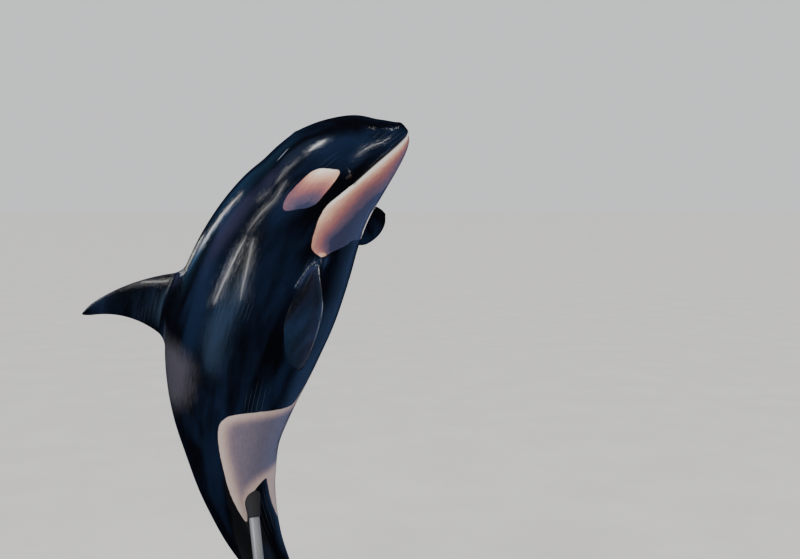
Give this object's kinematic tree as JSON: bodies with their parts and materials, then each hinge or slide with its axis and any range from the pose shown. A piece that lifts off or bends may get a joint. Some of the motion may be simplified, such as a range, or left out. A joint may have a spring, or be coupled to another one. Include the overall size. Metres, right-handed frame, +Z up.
{
  "type": "leaping orca on a display stand",
  "caption": "Life-size adult orca in a steep leap, bent toward its belly, held by a flat base and slanting steel rods.",
  "frame": {"origin": "middle of the display base's underside, where the model stands on the floor", "axes": "+Z up; the animal's back faces -X and its belly +X, its right side faces -Y, and its snout points up and toward +X"},
  "size_m": [2.9985, 3.0235, 5.5171],
  "materials": {
    "skin": "wet, glossy skin, black with cream white markings and a grey saddle",
    "eye": "wet dark brown eye",
    "stand_paint": "satin dark grey paint",
    "stand_steel": "brushed",
    "stand_pad": "matte black rubber"
  },
  "bodies": {
    "root": {"head": "skin", "lower_jaw": "skin", "chest": "skin", "belly": "skin", "tail_stock": "skin", "dorsal_fin": "skin", "flipper_left": "skin", "flipper_right": "skin", "fluke_left": "skin", "fluke_right": "skin", "eye_left": "eye", "eye_right": "eye", "stand_base": "stand_paint", "stand_foot_front": "stand_steel", "stand_foot_rear": "stand_steel", "stand_rod_front": "stand_steel", "stand_rod_rear": "stand_steel", "stand_cup_front": "stand_pad", "stand_cup_rear": "stand_pad"}
  },
  "joints": []
}
